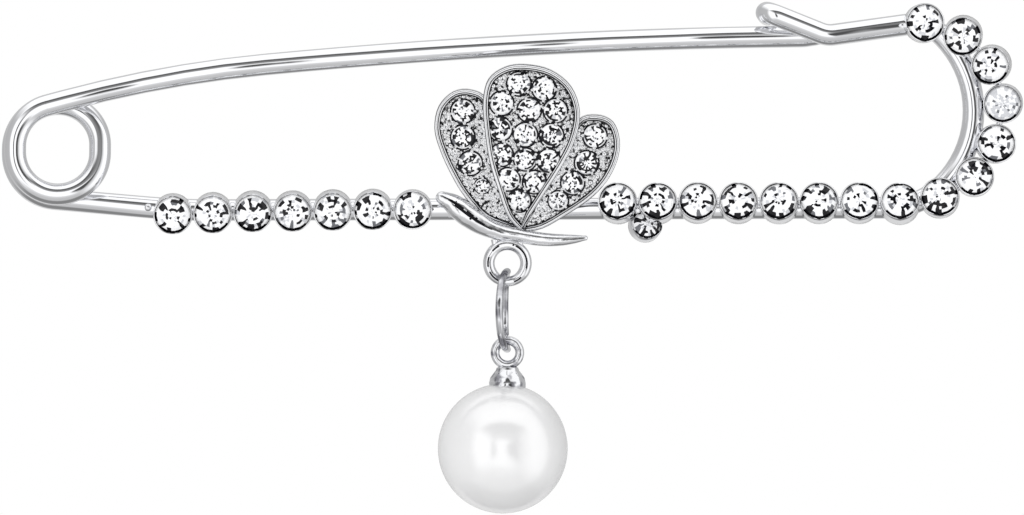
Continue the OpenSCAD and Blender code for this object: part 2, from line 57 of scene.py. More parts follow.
# The wire, the coil and the bends of the frame
WIRE_D = 1.7
WIRE_R = WIRE_D / 2
COIL_R = 3.3
COIL_STRAIGHT = 0.45
BACK_SPREAD = 0.25
TURN_PITCH = 1.85
TURN_H = 2 * COIL_R + COIL_STRAIGHT
FOOT_SLOPE = 5
FOOT_L = 7.5
FOOT_R = 55
BAR_SLOPE = 0.2
BAR_L = 52.7
CORNER_TURN = 45
CORNER_R = 6.1
END_TURN = 90
END_R = 8.2
TOP_SLOPE = 8
TOP_CORNER_R = 3.3
NECK_LEAN = 12
NECK_L = 5.1
NECK_R = 4
HOOK_RISE = 30
HOOK_L = 3.4
HOOK_R = 1.9
NOSE_TURN = 96
NOSE_R = 1.1
NOSE_L = 1.5
HOOK_GAP = 0.25

# The pin
ROOT_SLOPE = 15
ROOT_L = 15.9
ARM_SLOPE = 5.5
SWEEP_R = 30
PIN_SINK = 0.06

# The cups and their stones
CUP_R = 1.54
CUP_H = 1.6
CUP_RIM = 0.1
LEFT_PITCH = 3.12
LEFT_COUNT = 7
LEFT_START = 9
LEFT_RISE = 1.2
LEFT_DROP = 0.385
RIGHT_PITCH = 3.15
RIGHT_COUNT = 15
RUN_R = 6.97
RUN_LAST = 82.5
RUN_IN = 1.98
RUN_OVER_BAR = 0.545
RUN_BACK = -WIRE_R + 0.2
END_SINK = 0.6
SINK_START = 2
SINK_L = 5
LOW_CUP_R = 1.3
LOW_CUP_H = 1.1
LOW_SHARE = 0.66
LOW_SINK = 0.75
LOW_DROP = 1.75
LOW_NOD = 18
LOW_TURN = 12
STONE_R = 1.42
STONE_Z = CUP_H - 0.34
LOW_STONE_R = 1.18
LOW_STONE_Z = 0.8
LINK_R = 0.28
LINK_RISE = 0.75

# The butterfly and its eye
BUTTERFLY_X = 36
FOOT_DROP = 0.975
LEAN = 5
WING_H = 12.2
WING_W = 7.4
WING_T = 1.9
WING_STEP = 0.35
FIELD_DEPTH = 0.3
CROWN_R = 24
SMALL_R = 0.92
SMALL_SINK = 0.06
BODY_D = 1.85
SPINE_Z = 1
EYE_D = 3.8
EYE_WIRE_D = 0.9
EYE_SIDE = -0.12
EYE_DROP = 0.495

# The drop
RING_D = 6.65
RING_WIRE_D = 0.58
LOOP_D = 2.62
LOOP_WIRE_D = 0.7
LOOP_SEAT = 0.15
PEARL_R = 5.075
PEARL_SIDE = -0.36
CAP_H = 1.3


def move(x, y=0, z=0):
    return Matrix.Translation(Vector((x, y, z)))


def turn(axis, degrees):
    return Matrix.Rotation(math.radians(degrees), 4, axis)


def past_bend(m, bend):
    """The place after a straight stretch and a bend."""
    straight, roll, radius, angle = bend
    m = m @ move(straight) @ turn("X", roll)
    if angle:
        a = math.radians(angle)
        m = m @ move(radius * math.sin(a), radius * (1 - math.cos(a))) @ turn("Z", angle)
    return m


def walk(m, bends, count):
    """The place after the first few bends of a wire."""
    for bend in bends[:count]:
        m = past_bend(m, bend)
    return m


# Bends of the wires: straight length, roll of the bend's plane, bend radius, bend angle
frame_start = Matrix(((-1, 0, 0, 0), (0, 0, -1, 0), (0, -1, 0, TURN_H / 2), (0, 0, 0, 1)))
hook_roll = 90 + math.degrees(math.atan(NECK_LEAN / HOOK_RISE))
frame_bends = [
    (0, 0, COIL_R + BACK_SPREAD, 90),
    (COIL_STRAIGHT - BACK_SPREAD / 2, 0, COIL_R + BACK_SPREAD, 90 - FOOT_SLOPE),
    (FOOT_L, 0, FOOT_R, FOOT_SLOPE + BAR_SLOPE),
    (BAR_L, 0, CORNER_R, CORNER_TURN - BAR_SLOPE),
    (0, 0, END_R, END_TURN),
    (0, 0, TOP_CORNER_R, CORNER_TURN + TOP_SLOPE),
    (0, 90, NECK_R, NECK_LEAN),
    (NECK_L, hook_roll, HOOK_R, math.hypot(NECK_LEAN, HOOK_RISE)),
    (HOOK_L, 180 - hook_roll, NOSE_R, NOSE_TURN),
    (NOSE_L, 0, 0, 0)]
bar_start = walk(frame_start, frame_bends, 3).translation
bar_end = walk(frame_start, frame_bends, 4).translation
hook_start = walk(frame_start, frame_bends, 8)
hook_front = (hook_start @ move(HOOK_L)).translation
nose = (hook_start @ move(HOOK_L + NOSE_R)).translation

coil_drop = math.degrees(math.atan(TURN_PITCH / TURN_H))
side_start = (Matrix(((1, 0, 0, 0), (0, 0, -1, 0), (0, 1, 0, TURN_H / 2), (0, 0, 0, 1)))
              @ turn("X", 180 - coil_drop))
side_stretch = TURN_H / math.cos(math.radians(coil_drop)) - TURN_H
side_bends = [(0, 0, COIL_R, 90), (COIL_STRAIGHT + side_stretch, 0, COIL_R, 90)]
front_start = Matrix(((-1, 0, 0, 0), (0, 0, 1, -TURN_PITCH), (0, 1, 0, -TURN_H / 2), (0, 0, 0, 1)))
front_bends = [(0, 0, COIL_R, 90), (COIL_STRAIGHT, 0, COIL_R, 90 - ROOT_SLOPE)]

# The pin sweeps back past the hook, then droops so that its end lies in the hook's nose
arm_root = walk(front_start, front_bends, 2) @ move(CLEAR) @ turn("X", 180)
arm_over = ROOT_SLOPE - ARM_SLOPE
arm_back = hook_front.y + WIRE_D + HOOK_GAP - arm_root.translation.y
arm_sweep = math.degrees(math.asin(arm_back / (nose.x - arm_root.translation.x)))
arm_bends = [(0, -90, SWEEP_R, arm_sweep), (0, -90, ROOT_L / math.radians(arm_over), arm_over)]
arm_mid = walk(arm_root, arm_bends, 2)
arm_goal = Vector((nose.x, arm_root.translation.y + arm_back, nose.z - WIRE_D - HOOK_GAP))
arm_way = arm_mid.inverted() @ arm_goal
half_turn = math.atan(arm_way.y / arm_way.x)
arm_bends.append((0, 0, arm_way.length / (2 * math.sin(half_turn)), 2 * math.degrees(half_turn)))


def bar_z(x):
    return bar_start.z + (x - bar_start.x) * math.tan(math.radians(BAR_SLOPE))


# How far each cup nods up and how far it looks right
LEFT_NODS = (-8, -9, -12, -9, -10, -9, -4)
RIGHT_NODS = (15, 16, 13, 14, 15, 14, 14, 18, 8, 3, 2, -3, -6, -8, 2)
RIGHT_SIDES = (-3, 0, 2, 0, -2, 0, 0, 0, 0, 0, 5, -5, -8, -3, 6)
run_x = bar_end.x - CORNER_R * math.sin(math.radians(CORNER_TURN)) + RUN_IN
run_z = bar_z(run_x) + RUN_OVER_BAR + RUN_R
run_arc_l = RUN_R * math.radians(RUN_LAST + 90)


def tilted(x, back, z, nod, side):
    """A seat: the middle of the cup's back, its nod and its look aside. The cup tilts about its stone, so that
    the stones keep their line."""
    n, t = math.radians(nod), math.radians(side)
    return x - CUP_H * math.sin(t) * math.cos(n), back, z - CUP_H * math.sin(n), nod, side


def left_seat(i):
    rise = i * LEFT_PITCH * math.tan(math.radians(LEFT_RISE))
    return tilted(LEFT_START + i * LEFT_PITCH, RUN_BACK, bar_z(LEFT_START) - LEFT_DROP + rise, LEFT_NODS[i], 0)


def right_seat(i):
    way = run_arc_l - (RIGHT_COUNT - 1 - i) * RIGHT_PITCH
    if way < 0:
        return tilted(run_x + way, RUN_BACK, run_z - RUN_R, RIGHT_NODS[i], RIGHT_SIDES[i])
    a = -math.pi / 2 + way / RUN_R
    sink = END_SINK * max(0, min(1, (way - SINK_START) / SINK_L)) * max(0, min(1, (run_arc_l - way) / SINK_L))
    return tilted(run_x + RUN_R * math.cos(a), RUN_BACK + sink, run_z + RUN_R * math.sin(a),
                  RIGHT_NODS[i], RIGHT_SIDES[i])


def on_seat(seat):
    x, back, z, nod, side = seat
    return move(x, back, z) @ turn("Z", side) @ turn("X", 90 - nod)


left_seats = [left_seat(i) for i in range(LEFT_COUNT)]
right_seats = [right_seat(i) for i in range(RIGHT_COUNT)]
low_x = run_x + run_arc_l - (RIGHT_COUNT - 1 - LOW_SHARE) * RIGHT_PITCH
low_z = run_z - RUN_R - LOW_DROP - LOW_CUP_H * math.sin(math.radians(LOW_NOD))
low_seat = on_seat((low_x, RUN_BACK + LOW_SINK, low_z, LOW_NOD, 0)) @ turn("Y", LOW_TURN)

butterfly_z = bar_z(BUTTERFLY_X) - FOOT_DROP
on_frame = move(BUTTERFLY_X, -WIRE_R + SOLDER, butterfly_z) @ turn("X", 90 + LEAN)
eye_at = Vector((EYE_SIDE * WING_W, -EYE_DROP - BODY_D / 2 - EYE_D / 2 + SOLDER, SPINE_Z))
eye_r = (EYE_D - EYE_WIRE_D) / 2
ring_r = (RING_D - RING_WIRE_D) / 2
loop_r = (LOOP_D - LOOP_WIRE_D) / 2
eye_mid = on_frame @ eye_at
ring_mid = Vector((eye_mid.x, eye_mid.y,
                   eye_mid.z - eye_r + (EYE_WIRE_D + RING_WIRE_D) / 2 + CLEAR - ring_r))
loop_z = ring_mid.z - ring_r + (RING_WIRE_D + LOOP_WIRE_D) / 2 + CLEAR - loop_r
loop_mid = Vector((ring_mid.x, ring_mid.y, loop_z))
pearl_mid = Vector((ring_mid.x, ring_mid.y, loop_z - loop_r - CAP_H - PEARL_R - LOOP_SEAT))


# ---- making meshes

def clear_selection():
    if bpy.context.object and bpy.context.object.mode != "OBJECT":
        bpy.ops.object.mode_set(mode="OBJECT")
    bpy.ops.object.select_all(action="DESELECT")


def pick(obj):
    clear_selection()
    obj.select_set(True)
    bpy.context.view_layer.objects.active = obj


def start_edit(obj, mode="EDGE"):
    pick(obj)
    bpy.ops.object.mode_set(mode="EDIT")
    bpy.ops.mesh.select_mode(type=mode)
    bpy.ops.mesh.select_all(action="SELECT")


def end_edit(close=False):
    """Leaves edit mode with doubles merged, holes filled where asked, and faces turned outwards."""
    bpy.ops.mesh.select_all(action="SELECT")
    bpy.ops.mesh.remove_doubles(threshold=0.0004)
    if close:
        bpy.ops.mesh.select_all(action="SELECT")
        bpy.ops.mesh.fill_holes(sides=0)
    bpy.ops.mesh.select_all(action="SELECT")
    bpy.ops.mesh.normals_make_consistent(inside=False)
    bpy.ops.object.mode_set(mode="OBJECT")


def placed(obj, m):
    obj.data.transform(m)
    obj.matrix_world = Matrix.Identity(4)
    obj.data.update()
    return obj


def smooth(obj, angle=180):
    pick(obj)
    if angle >= 180:
        bpy.ops.object.shade_smooth()
    else:
        bpy.ops.object.shade_smooth_by_angle(angle=math.radians(angle))
    return obj


def ring_of_edges(name, radius, sides, at=Matrix.Identity(4)):
    clear_selection()
    bpy.ops.mesh.primitive_circle_add(vertices=sides, radius=radius, fill_type="NOTHING")
    obj = bpy.context.object
    obj.name = name
    return placed(obj, at)


def extrude_to(obj, last, new, scale=1.0):
    """Extrudes the picked ring of edges and carries it from one place to the next."""
    bpy.ops.mesh.extrude_edges_move()
    carry = new @ Matrix.Scale(scale, 4) @ last.inverted()
    mesh = bmesh.from_edit_mesh(obj.data)
    for v in mesh.verts:
        if v.select:
            v.co = carry @ v.co
    bmesh.update_edit_mesh(obj.data)


def lathe(name, profile, sides):
    """A turned piece, closed at both ends: a ring drawn up through a profile of (radius, height)."""
    radius, height = profile[0]
    last = move(0, 0, height)
    obj = ring_of_edges(name, radius, sides, last)
    start_edit(obj)
    for r, z in profile[1:]:
        new = move(0, 0, z)
        extrude_to(obj, last, new, r / radius)
        last, radius = new, r
    end_edit(close=True)
    return obj


def swept(name, places, sides):
    """A closed tube through a list of (matrix, radius), each ring square to its matrix's x axis."""
    m, r = places[0]
    obj = ring_of_edges(name, r, sides, m @ turn("Y", 90))
    start_edit(obj)
    for new, radius in places[1:]:
        extrude_to(obj, m, new, radius / r)
        m, r = new, radius
    end_edit(close=True)
    return obj


def hoop(name, radius, wire_r, steps):
    """A closed ring in the xy plane: one circle spun all the way round."""
    obj = ring_of_edges(name, wire_r, 20, move(radius) @ turn("X", 90))
    start_edit(obj)
    bpy.ops.mesh.spin(steps=steps, angle=2 * math.pi, center=(0, 0, 0), axis=(0, 0, 1))
    end_edit()
    return obj


WIRE_SIDES = 32
SPIN_WAY = -1
SPIN_STEP = 5.0
WIRE_STEP = 3


def wire(name, start, bends, tail=()):
    """A round wire: a ring extruded along each straight and spun round each bend, then drawn in by its tail
    of (length, share of the radius)."""
    obj = ring_of_edges(name, WIRE_R, WIRE_SIDES, start @ turn("Y", 90))
    start_edit(obj)
    m = start
    for straight, roll, radius, angle in bends:
        if straight:
            steps = max(1, round(straight / WIRE_STEP))
            for _ in range(steps):
                new = m @ move(straight / steps)
                extrude_to(obj, m, new)
                m = new
        m = m @ turn("X", roll)
        if angle:
            arc = radius * math.radians(angle)
            steps = max(3, round(abs(angle) / SPIN_STEP), round(abs(arc) / WIRE_STEP))
            bpy.ops.mesh.spin(steps=steps, angle=SPIN_WAY * math.radians(angle),
                              center=m @ Vector((0, radius, 0)), axis=m.to_3x3() @ Vector((0, 0, 1)))
        m = past_bend(m, (0, 0, radius, angle))
    share = 1.0
    for forward, new_share in tail:
        new = m @ move(forward)
        extrude_to(obj, m, new, new_share / share)
        m, share = new, new_share
    end_edit(close=True)
    return smooth(obj, 60)


def twin(obj, m):
    """A copy of a piece with its own mesh, set at another place."""
    other = obj.copy()
    other.data = obj.data.copy()
    bpy.context.scene.collection.objects.link(other)
    return placed(other, m)


def joined(name, parts):
    clear_selection()
    for part in parts:
        part.select_set(True)
    bpy.context.view_layer.objects.active = parts[0]
    if len(parts) > 1:
        bpy.ops.object.join()
    obj = bpy.context.object
    obj.name = name
    obj.data.name = name
    return obj


def copies(name, model, places):
    """One model copied to many places, joined as one piece. The model itself goes."""
    piece = joined(name, [twin(model, m) for m in places])
    bpy.data.objects.remove(model)
    return piece


def spline(points, steps):
    """A smooth curve through the points: for each of its stretches, a list of (place, heading, share)."""
    stretches = []
    for i in range(len(points) - 1):
        a, b = points[max(i - 1, 0)], points[i]
        c, d = points[i + 1], points[min(i + 2, len(points) - 1)]
        stretch = []
        for k in range(steps):
            t = k / steps
            stretch.append((
                0.5 * (2 * b + (c - a) * t + (2 * a - 5 * b + 4 * c - d) * t * t
                       + (3 * b - a - 3 * c + d) * t ** 3),
                0.5 * ((c - a) + 2 * (2 * a - 5 * b + 4 * c - d) * t + 3 * (3 * b - a - 3 * c + d) * t * t),
                t))
        stretches.append(stretch)
    return stretches


# ---- stones

SECTORS = 24
GIRDLE = 0.08
STONE_RINGS = (1, 0.88, 0.72, 0.56, 0.4, 0.25, 0.12)
POINT_SHARE = 0.004
BRIGHT, LIGHT, DARK, BLACK = 0.1, 0.4, 0.7, 1.0
# Where the painted shade at a stone's foot starts, and how wide it spreads
FOOT_SHADE_FROM, FOOT_SHADE_SPREAD = 0.9, 0.57


def stone_model(name, r, crown, pavilion):
    """A cut stone: girdle, crown facets and a table, whose inner rings carry the painted reflections of the facets
    seen through it, and a pavilion drawn down to a point."""
    obj = ring_of_edges(name, r, SECTORS)
    start_edit(obj)
    last = Matrix.Identity(4)
    share = 1.0
    heights = [GIRDLE, GIRDLE + 0.45 * crown, GIRDLE + 0.82 * crown]
    heights += [GIRDLE + crown + 0.001 * k for k in range(5)]
    for z, new_share in zip(heights, STONE_RINGS + (POINT_SHARE,)):
        new = move(0, 0, z)
        extrude_to(obj, last, new, new_share / share)
        last, share = new, new_share
    mesh = bmesh.from_edit_mesh(obj.data)
    for v in mesh.verts:
        v.select = v.co.z < GIRDLE / 2
    mesh.select_flush_mode()
    for e in mesh.edges:
        e.select = all(v.select for v in e.verts)
    bmesh.update_edit_mesh(obj.data)
    extrude_to(obj, Matrix.Identity(4), move(0, 0, -pavilion), POINT_SHARE)
    end_edit(close=True)
    return obj


def nudge_facets(obj, r, draw):
    """Moves the corners of the crown's facets a little round and in or out, as hand polishing leaves them."""
    for v in obj.data.vertices:
        d = math.hypot(v.co.x, v.co.y)
        if v.co.z > 0.1 * r and 0.1 * r < d < 0.97 * r:
            a = math.atan2(v.co.y, v.co.x) + math.radians(draw.uniform(-4, 4))
            d *= draw.uniform(0.95, 1.05) if d < 0.8 * r else 1
            v.co.x, v.co.y = d * math.cos(a), d * math.sin(a)


def facet_reflections(draw, cloudy, deep):
    """Painted reflections: the light or dark that each facet sends back, by ring and sector: a scatter of grey,
    dark wedges that run in from the girdle, and a few short marks near the middle."""
    painted_reflections = {}
    light, dark = (0.5, 0.1) if cloudy else (0.13, 0.04)
    for ring in range(len(STONE_RINGS)):
        for sector in range(SECTORS):
            x = draw.random()
            painted_reflections[ring, sector] = LIGHT if x < light else DARK if x < light + dark else BRIGHT
    if cloudy:
        return painted_reflections
    lengths, widen, gaps, marks = ((2, 3, 4), 0.55, (2, 2, 3), 10) if deep else ((1, 2, 3), 0.4, (2, 3, 3), 7)
    sector = draw.randrange(3)
    while sector < SECTORS:
        tone = BLACK if draw.random() < 0.8 else DARK
        first = draw.choice((0, 0, 1, 1, 2))
        for ring in range(first, first + draw.choice(lengths)):
            painted_reflections[ring, sector] = tone
            if ring < first + 2 and draw.random() < widen:
                painted_reflections[ring, (sector + 1) % SECTORS] = tone
        sector += draw.choice(gaps)
    for _ in range(marks):
        sector = draw.randrange(SECTORS)
        ring = draw.choice((3, 4, 4, 5))
        painted_reflections[ring, sector] = painted_reflections[ring, (sector + 1) % SECTORS] = BLACK
    return painted_reflections


def draw_facets(obj, r, draw, cloudy, deep):
    nudge_facets(obj, r, draw)
    painted_reflections = facet_reflections(draw, cloudy, deep)
    # Each face keeps its painted reflection in the facet attribute
    layer = obj.data.attributes.get("facet") or obj.data.attributes.new("facet", "FLOAT", "FACE")
    middles = [(a + b) / 2 for a, b in zip(STONE_RINGS, STONE_RINGS[1:] + (0,))]
    for face in obj.data.polygons:
        c = face.center
        d = math.hypot(c.x, c.y) / r
        sector = int((math.degrees(math.atan2(c.y, c.x)) % 360) / (360 / SECTORS)) % SECTORS
        ring = min(range(len(middles)), key=lambda k: abs(middles[k] - d))
        layer.data[face.index].value = painted_reflections[0 if c.z < 0 else ring, sector]


def paint_foot_shade(obj, r, place):
    """Painted shade: the lowest facets at the girdle, which the cup's lip shades, are painted black."""
    down = place.to_3x3().inverted() @ Vector((0, 0, -1))
    down.z = 0
    down.normalize()
    layer = obj.data.attributes["facet"]
    for face in obj.data.polygons:
        c = face.center
        d = math.hypot(c.x, c.y)
        if d > FOOT_SHADE_FROM * r and (c.x * down.x + c.y * down.y) / d > FOOT_SHADE_SPREAD:
            layer.data[face.index].value = BLACK


def stones(name, model, r, places, seed, cloudy=(), deep=(), paint_shade_at_foot=True):
    """A run of stones, each turned and given its own painted reflections, and painted shade at its foot where
    asked.
    """
    draw = random.Random(seed)
    parts = []
    for i, m in enumerate(places):
        part = twin(model, Matrix.Identity(4))
        draw_facets(part, r, draw, i in cloudy, i in deep)
        place = m @ turn("Z", draw.uniform(0, 360))
        # Painted shade on the girdle facets that face down towards the cup's lip
        if paint_shade_at_foot:
            paint_foot_shade(part, r, place)
        parts.append(placed(part, place))
    return joined(name, parts)


# ---- materials

POLISH_INPUTS = ("Mark Scale", "Ripple Scale", "Roughness Low", "Roughness High", "Ripple Share")


def dressed(obj, *finishes):
    """Gives a piece its finishes, the first of them all over."""
    obj.data.materials.clear()
    for finish in finishes:
        obj.data.materials.append(finish)
    return obj


def set_inputs(node, values):
    for name, value in values.items():
        node.inputs[name].default_value = value


def object_noise(nodes, links, values):
    """A noise read at the piece's own place."""
    pattern = nodes.new("ShaderNodeTexNoise")
    coords = nodes.new("ShaderNodeTexCoord")
    links.new(coords.outputs["Object"], pattern.inputs["Vector"])
    set_inputs(pattern, values)
    return pattern


def colours_by(nodes, links, value, stops, interpolation="LINEAR"):
    """A colour by a value, from a list of (position, colour)."""
    ramp = nodes.new("ShaderNodeValToRGB")
    ramp.color_ramp.interpolation = interpolation
    while len(ramp.color_ramp.elements) < len(stops):
        ramp.color_ramp.elements.new(0.5)
    for element, (position, colour) in zip(ramp.color_ramp.elements, stops):
        element.position = position
        element.color = (*colour, 1)
    links.new(value, ramp.inputs["Fac"])
    return ramp.outputs["Color"]


def mixed(nodes, links, kind, factor, a, b, blend="MIX"):
    mix = nodes.new("ShaderNodeMix")
    mix.data_type = kind
    mix.blend_type = blend
    if isinstance(factor, (int, float)):
        mix.inputs["Factor"].default_value = factor
    else:
        links.new(factor, mix.inputs["Factor"])
    links.new(a, mix.inputs["A"])
    links.new(b, mix.inputs["B"])
    return mix.outputs["Result"]


def make_polish_group():
    """Surface of worked metal: soft polishing marks as roughness, and a fine height for bump."""
    tree = bpy.data.node_groups.new("worked_metal", "ShaderNodeTree")
    for socket in POLISH_INPUTS:
        tree.interface.new_socket(socket, in_out="INPUT", socket_type="NodeSocketFloat")
    for socket in ("Roughness", "Height"):
        tree.interface.new_socket(socket, in_out="OUTPUT", socket_type="NodeSocketFloat")
    nodes, links = tree.nodes, tree.links
    inlet = nodes.new("NodeGroupInput")
    outlet = nodes.new("NodeGroupOutput")
    marks = object_noise(nodes, links, {"Detail": 3})
    ripple = object_noise(nodes, links, {"Detail": 2})
    links.new(inlet.outputs["Mark Scale"], marks.inputs["Scale"])
    links.new(inlet.outputs["Ripple Scale"], ripple.inputs["Scale"])
    spread = nodes.new("ShaderNodeMapRange")
    set_inputs(spread, {"From Min": 0.35, "From Max": 0.7})
    links.new(marks.outputs["Fac"], spread.inputs["Value"])
    links.new(inlet.outputs["Roughness Low"], spread.inputs["To Min"])
    links.new(inlet.outputs["Roughness High"], spread.inputs["To Max"])
    links.new(spread.outputs["Result"], outlet.inputs["Roughness"])
    height = mixed(nodes, links, "FLOAT", inlet.outputs["Ripple Share"], marks.outputs["Fac"],
                   ripple.outputs["Fac"])
    links.new(height, outlet.inputs["Height"])
    return tree


worked_metal = make_polish_group()


def new_material(name):
    material = bpy.data.materials.new(name)
    material.use_nodes = True
    nodes, links = material.node_tree.nodes, material.node_tree.links
    return material, nodes, links, nodes["Principled BSDF"]


def metal(name, colour, marks, ripple, rough, share, bump, depth, wave=None, dark_patches=None):
    """A silvery metal: its colour, the scales of its polishing marks and ripples, its lowest and highest
    roughness, the ripples' share of the bump, and the bump's strength and depth. wave is the scale and depth of
    long hollows. The last argument gives random dark patches in the base colour: their scale, where they end,
    where the plain colour starts, and their tone."""
    material, nodes, links, shader = new_material(name)
    shader.inputs["Metallic"].default_value = 1
    surface = nodes.new("ShaderNodeGroup")
    surface.node_tree = worked_metal
    set_inputs(surface, dict(zip(POLISH_INPUTS, (marks, ripple, *rough, share))))
    links.new(surface.outputs["Roughness"], shader.inputs["Roughness"])
    height = nodes.new("ShaderNodeBump")
    set_inputs(height, {"Strength": bump, "Distance": depth})
    links.new(surface.outputs["Height"], height.inputs["Height"])
    if wave:
        # Long, slow hollows left by drawing and bending, which shift the reflections along the piece
        slow = object_noise(nodes, links, {"Scale": wave[0], "Detail": 0})
        hollows = nodes.new("ShaderNodeBump")
        hollows.inputs["Distance"].default_value = wave[1]
        links.new(slow.outputs["Fac"], hollows.inputs["Height"])
        links.new(hollows.outputs["Normal"], height.inputs["Normal"])
    links.new(height.outputs["Normal"], shader.inputs["Normal"])
    scale, low, high, shade = ripple * 0.6, 0.3, 0.7, [c * 0.93 for c in colour]
    if dark_patches:
        # Random dark patches in the base colour
        scale, low, high, patch_tone = dark_patches
        shade = (patch_tone, patch_tone, patch_tone * 1.1)
    tone = object_noise(nodes, links, {"Scale": scale})
    links.new(colours_by(nodes, links, tone.outputs["Fac"], ((low, shade), (high, colour))),
              shader.inputs["Base Color"])
    return material


wire_silver = metal("wire_silver", (0.9, 0.905, 0.925), 900, 160, (0.02, 0.07), 0.75, 0.2, 0.00003,
                    wave=(110, 0.0009))
ring_silver = metal("ring_silver", (0.73, 0.735, 0.76), 900, 220, (0.03, 0.09), 0.75, 0.25, 0.00004,
                    wave=(420, 0.0004), dark_patches=(700, 0.38, 0.56, 0.24))
drop_silver = metal("drop_silver", (0.81, 0.815, 0.835), 2600, 900, (0.05, 0.14), 0.6, 0.4, 0.00005,
                    dark_patches=(1300, 0.36, 0.5, 0.3))
cup_silver = metal("cup_silver", (0.9, 0.905, 0.925), 1500, 500, (0.05, 0.14), 0.5, 0.25, 0.00003)
cast_silver = metal("cast_silver", (0.88, 0.885, 0.905), 2600, 900, (0.06, 0.18), 0.6, 0.5, 0.00006)
field_silver = metal("field_silver", (0.95, 0.955, 0.97), 6000, 2400, (0.15, 0.35), 0.6, 0.9, 0.0002,
                     dark_patches=(4200, 0.41, 0.5, 0.02))
bead_silver = metal("bead_silver", (0.96, 0.965, 0.98), 2600, 900, (0.05, 0.14), 0.6, 0.4, 0.00005)
# Black for painted shade and dark reflections in the cups, wing seats and wing rims, and for the dark lines on the
# body and the eye
black_shade_and_lines = metal("black_shade_and_lines", (0.022, 0.022, 0.026), 3000, 1500, (0.3, 0.5), 0.5, 0.4, 0.00005)


def make_crystal():
    """Foiled glass whose facets carry painted reflections: each is bright, grey, dark or black by the light it
    stands for, under a faint veil.
    """
    material, nodes, links, shader = new_material("crystal")
    facet = nodes.new("ShaderNodeAttribute")
    facet.attribute_name = "facet"
    facets = colours_by(nodes, links, facet.outputs["Fac"], (
        (0, (0.95, 0.955, 0.97)), (0.3, (0.62, 0.63, 0.66)), (0.6, (0.16, 0.165, 0.18)),
        (0.9, (0.006, 0.006, 0.008))), "CONSTANT")
    veil = object_noise(nodes, links, {"Scale": 1800})
    lift = nodes.new("ShaderNodeMapRange")
    set_inputs(lift, {"To Min": 0.82, "To Max": 1.12})
    links.new(veil.outputs["Fac"], lift.inputs["Value"])
    links.new(mixed(nodes, links, "RGBA", 1, facets, lift.outputs["Result"], "MULTIPLY"),
              shader.inputs["Base Color"])
    set_inputs(shader, {"Roughness": 0.04, "Specular IOR Level": 0.3})
    return material


def make_nacre():
    """Pearl coating: faint clouds, a soft lustre from within and a thin clear coat."""
    material, nodes, links, shader = new_material("nacre")
    clouds = object_noise(nodes, links, {"Scale": 180, "Detail": 4})
    links.new(colours_by(nodes, links, clouds.outputs["Fac"], (
        (0.3, (0.84, 0.84, 0.845)), (0.72, (0.88, 0.88, 0.885)))), shader.inputs["Base Color"])
    set_inputs(shader, {"Metallic": 0.22, "Roughness": 0.22, "Coat Weight": 0.6, "Coat Roughness": 0.06,
                        "Subsurface Weight": 0.2, "Subsurface Radius": (0.002, 0.002, 0.002)})
    return material


crystal = make_crystal()
nacre = make_nacre()

# ---- the wires

frame_wire = wire("frame_wire", frame_start, frame_bends, [(0.25, 0.97), (0.25, 0.86), (0.2, 0.66), (0.12, 0.35)])
coil_wire = joined("coil_wire", [
    wire("coil_side", side_start, side_bends),
    wire("coil_front", front_start, front_bends)])
pin_wire = wire("pin_wire", arm_root @ move(-PIN_SINK), [(PIN_SINK, 0, 0, 0)] + arm_bends, [
    (NOSE_R + WIRE_D, 1), (0.3, 0.98), (0.8, 0.85), (0.9, 0.62), (0.9, 0.36), (0.55, 0.17), (0.15, 0.06)])

# ---- the cups

DIP_DEPTH = 0.14
DIP_WIDTH = 0.6


def cup_model(name, r, h):
    """A stone cup whose rim dips between its four prongs."""
    bore = r - CUP_RIM
    obj = lathe(name, [
        (r * 0.4, 0), (r - 0.14, 0), (r - 0.04, 0.05), (r, 0.15), (r, h - 0.4), (r, h - 0.2), (r - 0.01, h - 0.1),
        (r - 0.05, h - 0.03), (r - CUP_RIM / 2, h), (bore, h - 0.03), (bore - 0.01, h - 0.1),
        (bore - 0.02, h - 0.3), (bore - 0.02, h - 0.6), (r * 0.4, 0.3)], 40)
    for v in obj.data.vertices:
        if v.co.z > h - 0.25:
            a = math.atan2(v.co.y, v.co.x)
            v.co.z -= DIP_DEPTH * max(0.0, (math.cos(4 * a) - DIP_WIDTH) / (1 - DIP_WIDTH)) ** 2
    dressed(obj, cup_silver, black_shade_and_lines)
    # Painted shade: the inside of the cup below its rim is painted black
    for face in obj.data.polygons:
        c = face.center
        if c.z > h - 0.62 and math.hypot(c.x, c.y) < bore - 0.004:
            face.material_index = 1
    return smooth(obj, 50)


def link_model(name, length):
    """The short bar between two cups, a little thinner at its middle."""
    places = [(move(x), LINK_R * share) for x, share in (
        (0, 1), (length * 0.3, 0.85), (length * 0.5, 0.8), (length * 0.7, 0.85), (length, 1))]
    return dressed(smooth(swept(name, places, 12), 60), cup_silver)


def cup_run(name, seats):
    """The cups of one run with the links between them."""
    cup = cup_model("cup", CUP_R, CUP_H)
    parts = [twin(cup, on_seat(s)) for s in seats]
    bpy.data.objects.remove(cup)
    for a, b in zip(seats, seats[1:]):
        way = Vector((b[0] - a[0], 0, b[2] - a[2]))
        tilt = Matrix.Rotation(-math.atan2(way.z, way.x), 4, "Y")
        link = link_model("link", way.length - 2 * (CUP_R - CUP_RIM))
        middle_y = (a[1] + b[1]) / 2 - LINK_RISE
        parts.append(placed(link, move(a[0], middle_y, a[2]) @ tilt @ move(CUP_R - CUP_RIM)))
    return joined(name, parts)


